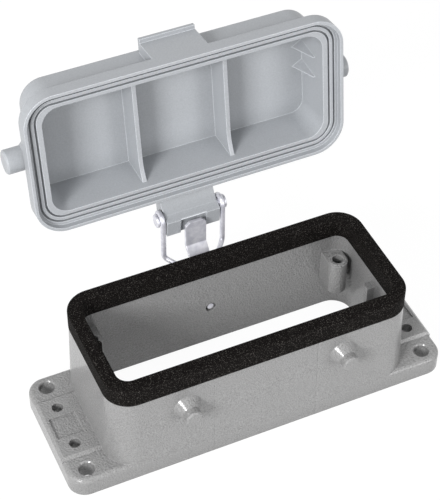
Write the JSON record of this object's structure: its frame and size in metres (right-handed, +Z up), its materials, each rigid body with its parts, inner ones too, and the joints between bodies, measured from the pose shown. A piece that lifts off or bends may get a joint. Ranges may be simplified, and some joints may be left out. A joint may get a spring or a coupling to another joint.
{
  "type": "heavy duty rectangular connector housing",
  "caption": "Bulkhead-mounting housing of a heavy duty rectangular connector, with a rim gasket and a hinged cover standing open.",
  "frame": {"origin": "on the underside of the flange, at the middle of the opening and of the four mounting holes", "axes": "+X along the housing, +Y to the hinge, +Z up out of the panel"},
  "size_m": [0.1138, 0.0734, 0.0936],
  "materials": {
    "painted_casting": "satin",
    "cover_plastic": "matte",
    "gasket_rubber": "matte",
    "bright_steel": "polished"
  },
  "bodies": {
    "housing": {"housing": "painted_casting", "rim_gasket": "gasket_rubber", "panel_seal": "gasket_rubber", "hinge_bracket": "bright_steel", "bracket_rivet": "bright_steel", "hinge_wire": "bright_steel", "hinge_pin": "bright_steel"},
    "cover": {"cover": "cover_plastic"}
  },
  "joints": [
    {"name": "cover_hinge", "type": "hinge", "parent": "housing", "child": "cover", "pos_m": [0, 0.032, 0.04], "axis": [1, 0, 0], "range_deg": [0, 98]}
  ]
}
